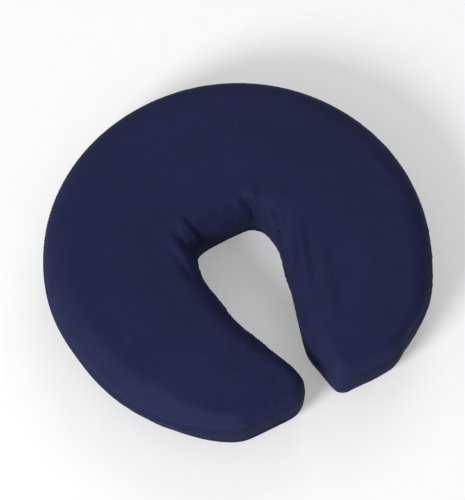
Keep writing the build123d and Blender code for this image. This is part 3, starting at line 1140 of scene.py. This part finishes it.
def hem_cloth(name, depth):
    """The same cloth where the elastic gathers it: crosswise crimps, and pale rubbed fibres underneath. depth
    scales the whole colour; below 1 it is painted shade.
    """
    dark, middle, light = ([c * depth for c in shade] for shade in (NAVY_DARK, NAVY, NAVY_LIGHT))
    f = Finish(name, Specular_IOR_Level=0.02)
    patches = f.noise(20.0, 3.0, 0.55)
    fibre = f.noise(1500.0, 3.0, 0.7)
    crimps = f.noise(230.0, 2.0, 0.5)
    pile = f.cells(1000.0)
    shade = 0.4 * patches + 0.35 * crimps + 0.25 * fibre
    colour = f.ramp(shade, (0.34, dark), (0.5, middle), (0.66, light))
    low = clamp01((1.8 * MM - f.height()) / (1.6 * MM))
    colour = f.blend(clamp01(low * fibre * 0.9), colour, NAVY_WORN)
    relief = 0.6 * crimps + 0.4 * fibre + 0.3 * (1 - pile)
    return f.done(colour, 0.84 + 0.1 * fibre, relief, 0.25 * MM)


def polyester_thread(name, colour, light):
    """Spun thread: fine twisted plies with a slight gloss."""
    f = Finish(name, Specular_IOR_Level=0.08)
    plies = f.noise(2600.0, 2.0, 0.6)
    runs = f.noise(140.0, 1.0)
    shade = f.ramp(0.6 * plies + 0.4 * runs, (0.35, colour), (0.65, light))
    return f.done(shade, 0.5 + 0.15 * plies, plies, 0.08 * MM)


def knitted_elastic(name):
    """Knitted elastic: fine ribs with fuzz between."""
    f = Finish(name, Specular_IOR_Level=0.3)
    ribs = f.cells(900.0, 0.35)
    fuzz = f.noise(1800.0, 2.0)
    colour = f.ramp(0.6 * ribs + 0.4 * fuzz, (0.2, (0.70, 0.68, 0.62)), (0.6, (0.52, 0.50, 0.45)))
    return f.done(colour, 0.75 + 0.1 * fuzz, (1 - ribs) + 0.4 * fuzz, 0.2 * MM)


def upholstery_vinyl(name):
    """Black upholstery vinyl: pebbled grain, softly glossy on the high spots."""
    f = Finish(name, Specular_IOR_Level=0.45)
    hollows = f.noise(260.0, 2.0)
    pebbles = f.cells(620.0, 0.9)
    edges = f.cells(620.0, 0.9, "DISTANCE_TO_EDGE")
    pores = f.noise(1900.0, 2.0, 0.6)
    rubbed = f.noise(18.0, 4.0, 0.6)
    shade = 0.5 * edges + 0.25 * hollows + 0.25 * rubbed
    deep, middle, worn = (0.008, 0.008, 0.010), (0.016, 0.016, 0.019), (0.026, 0.026, 0.030)
    colour = f.ramp(shade, (0.18, deep), (0.5, middle), (0.8, worn))
    roughness = 0.36 + 0.14 * rubbed + 0.10 * pebbles
    relief = clamp01(edges * 4.0) + 0.2 * pores + 0.3 * hollows
    return f.done(colour, roughness, relief, 0.12 * MM)


def open_foam(name, pale, deep, cell):
    """Cut polyurethane foam: open cells with darker pits."""
    f = Finish(name, Specular_IOR_Level=0.15)
    pits = f.cells(cell, 1.0)
    small = f.cells(cell * 2.3, 1.0)
    cloud = f.noise(25.0, 3.0)
    colour = f.ramp(0.6 * (1 - pits) + 0.2 * small + 0.2 * cloud, (0.25, deep), (0.7, pale))
    return f.done(colour, 0.92 + 0.05 * cloud, 0.7 * pits + 0.3 * small, 0.5 * MM)


def loop_tape(name):
    """Loop tape: a mat of fine nylon loops on a woven backing."""
    f = Finish(name, Specular_IOR_Level=0.3, Sheen_Weight=0.15, Sheen_Roughness=0.4)
    tangle = f.noise(1100.0, 4.0, 0.75)
    loops = f.cells(780.0, 1.0)
    rows = f.noise(90.0, 1.0)
    shade = 0.5 * tangle + 0.3 * (1 - loops) + 0.2 * rows
    deep, middle, worn = (0.006, 0.006, 0.007), (0.020, 0.020, 0.022), (0.045, 0.045, 0.048)
    colour = f.ramp(shade, (0.3, deep), (0.6, middle), (0.85, worn))
    return f.done(colour, 0.66 + 0.2 * tangle, tangle + 0.6 * (1 - loops), 0.5 * MM)


# ---------------------------------------------------------------- making

line = outline_ring()
settled = settle(line)


def edge_length(line, inner):
    """The length of the outline beside the inner bands, or beside the outer ones."""
    after = np.roll(line, -1, axis=0)
    steps = np.linalg.norm(after - line, axis=1)
    beside = np.zeros(RING, bool)
    beside[ALONG:] = np.abs(line[ALONG:, 0]) < BAND_SEAM_X
    return float(steps[beside == inner].sum())


def dress(piece, body, slot, material, *nodes):
    """Gives a piece its finish, and says what it rides on and stands for. slot, what it is made of, is not
    used.
    """
    piece.data.materials.append(material)
    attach(piece, body)
    if nodes:
        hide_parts(*nodes)


cover = make_cover(line, settled)
top_finish = microfibre("navy_microfibre", 1.0)
# The outer and inner bands take darker copies of the cloth (0.84 and 0.95): painted shade on the walls.
outer_band_shaded_finish = microfibre("navy_microfibre_outer_band_painted_shade", 0.84)
inner_band_shaded_finish = microfibre("navy_microfibre_inner_band_painted_shade", 0.95)
cover_thread_finish = polyester_thread("navy_thread", (0.007, 0.009, 0.029), (0.011, 0.014, 0.043))
dress(cover["top"], "fitted_cover", "cover_fabric", top_finish, "cover_top_panel")
dress(cover["outer"], "fitted_cover", "cover_fabric", outer_band_shaded_finish, "cover_outer_band")
dress(cover["inner"], "fitted_cover", "cover_fabric", inner_band_shaded_finish, "cover_inner_band")
# The hem takes a darker copy of the cloth (0.84): painted shade low on the wall and under the cushion.
dress(cover["hem"], "fitted_cover", "cover_fabric", hem_cloth("navy_gathered_cloth_painted_shade", 0.84), "cover_hem")
dress(cover["seam"], "fitted_cover", "cover_thread", cover_thread_finish, "cover_seam_thread")
dress(cover["row"], "fitted_cover", "cover_thread", cover_thread_finish, "hem_thread")
dress(make_elastic(line, settled), "fitted_cover", "elastic", knitted_elastic("pale_elastic"), "hem_elastic")
outer_length = edge_length(line, inner=False)
inner_length = edge_length(line, inner=True)

vinyl = make_vinyl(line)
vinyl_finish = upholstery_vinyl("black_vinyl")
vinyl_thread_finish = polyester_thread("black_thread", (0.010, 0.010, 0.011), (0.030, 0.030, 0.032))
dress(vinyl["top"], "cushion", "vinyl", vinyl_finish, "vinyl_top_panel")
dress(vinyl["outer"], "cushion", "vinyl", vinyl_finish, "vinyl_outer_band")
dress(vinyl["inner"], "cushion", "vinyl", vinyl_finish, "vinyl_inner_band")
dress(vinyl["under"], "cushion", "vinyl", vinyl_finish, "vinyl_underside_panel")
dress(vinyl["high"], "cushion", "vinyl_thread", vinyl_thread_finish, "vinyl_top_seam_thread")
dress(vinyl["low"], "cushion", "vinyl_thread", vinyl_thread_finish, "vinyl_bottom_seam_thread")

comfort = make_foam("comfort_layer", line, comfort_profile(), crown=0.6 * MM)
support = make_foam("support_layer", line, support_profile(), crown=0.0)
comfort_finish = open_foam("cream_foam", (0.78, 0.70, 0.48), (0.52, 0.44, 0.27), 620.0)
support_finish = open_foam("grey_foam", (0.42, 0.43, 0.45), (0.22, 0.23, 0.25), 480.0)
dress(comfort, "cushion", "comfort_foam", comfort_finish, "comfort_foam")
dress(support, "cushion", "support_foam", support_finish, "support_foam")

tape_finish = loop_tape("black_loop_tape")
for seed, where in enumerate(("crown", "left", "right"), start=31):
    tape, row = make_tape(where + "_loop_tape", where + "_loop_strip", seed)
    dress(tape, "cushion", "loop_tape", tape_finish, where + "_loop_strip")
    dress(row, "cushion", "vinyl_thread", vinyl_thread_finish)

# ---------------------------------------------------------------- floor, lights, camera
FLOOR = 4.0  # half the floor's side
VIEW_AZIMUTH = -28.0
VIEW_ELEVATION = 63.0
VIEW_DISTANCE = 2.4
LENS = 225.0
SENSOR = 36.0
KEY = {"azimuth": -66, "elevation": 31, "distance": 3.0, "size": 0.95, "power": 84.0}
FILL = {"azimuth": 140, "elevation": 34, "distance": 2.0, "size": 1.2, "power": 9.0}
SKY = 0.42


def away_from(azimuth, elevation):
    """The direction from the object towards a place that is seen at this azimuth and elevation."""
    a = math.radians(azimuth)
    e = math.radians(elevation)
    return Vector((math.sin(a) * math.cos(e), -math.cos(a) * math.cos(e), math.sin(e)))


def place(name, data, target, azimuth, elevation, distance):
    """A lamp or camera that looks at target from a direction and distance."""
    obj = bpy.data.objects.new(name, data)
    away = away_from(azimuth, elevation)
    obj.location = target + away * distance
    obj.rotation_euler = (-away).to_track_quat("-Z", "Y").to_euler()
    bpy.context.scene.collection.objects.link(obj)
    return obj


def floor():
    points = [(-FLOOR, -FLOOR, 0), (FLOOR, -FLOOR, 0), (FLOOR, FLOOR, 0), (-FLOOR, FLOOR, 0)]
    obj = mesh_object("floor", points, [(0, 1, 2, 3)], smooth=False)
    f = Finish("pale_floor", Specular_IOR_Level=0.1, Emission_Strength=0.285)
    f.join((1, 1, 1, 1), f.shader.inputs["Emission Color"])
    grain = f.noise(60.0, 3.0)
    colour = f.ramp(grain, (0.3, (0.675, 0.675, 0.675)), (0.7, (0.69, 0.69, 0.69)))
    obj.data.materials.append(f.done(colour, 0.9 + 0.02 * grain, grain, 0.01 * MM))


def lamp(name, target, azimuth, elevation, distance, size, power):
    data = bpy.data.lights.new(name, "AREA")
    data.shape = "DISK"
    data.size = size
    data.energy = power
    place(name, data, target, azimuth, elevation, distance)


def camera(target):
    data = bpy.data.cameras.new("camera")
    data.lens = LENS
    data.sensor_fit = "HORIZONTAL"
    data.sensor_width = SENSOR
    bpy.context.scene.camera = place("camera", data, target, VIEW_AZIMUTH, VIEW_ELEVATION, VIEW_DISTANCE)


def stage():
    middle = Vector((0, 0, TOP / 2))
    floor()
    camera(middle)
    lamp("key", middle, **KEY)
    lamp("fill", middle, **FILL)
    world = bpy.data.worlds.new("studio")
    world.use_nodes = True
    background = world.node_tree.nodes["Background"]
    background.inputs["Color"].default_value = (1, 1, 1, 1)
    background.inputs["Strength"].default_value = SKY
    bpy.context.scene.world = world
    bpy.context.scene.view_settings.view_transform = "Standard"


stage()
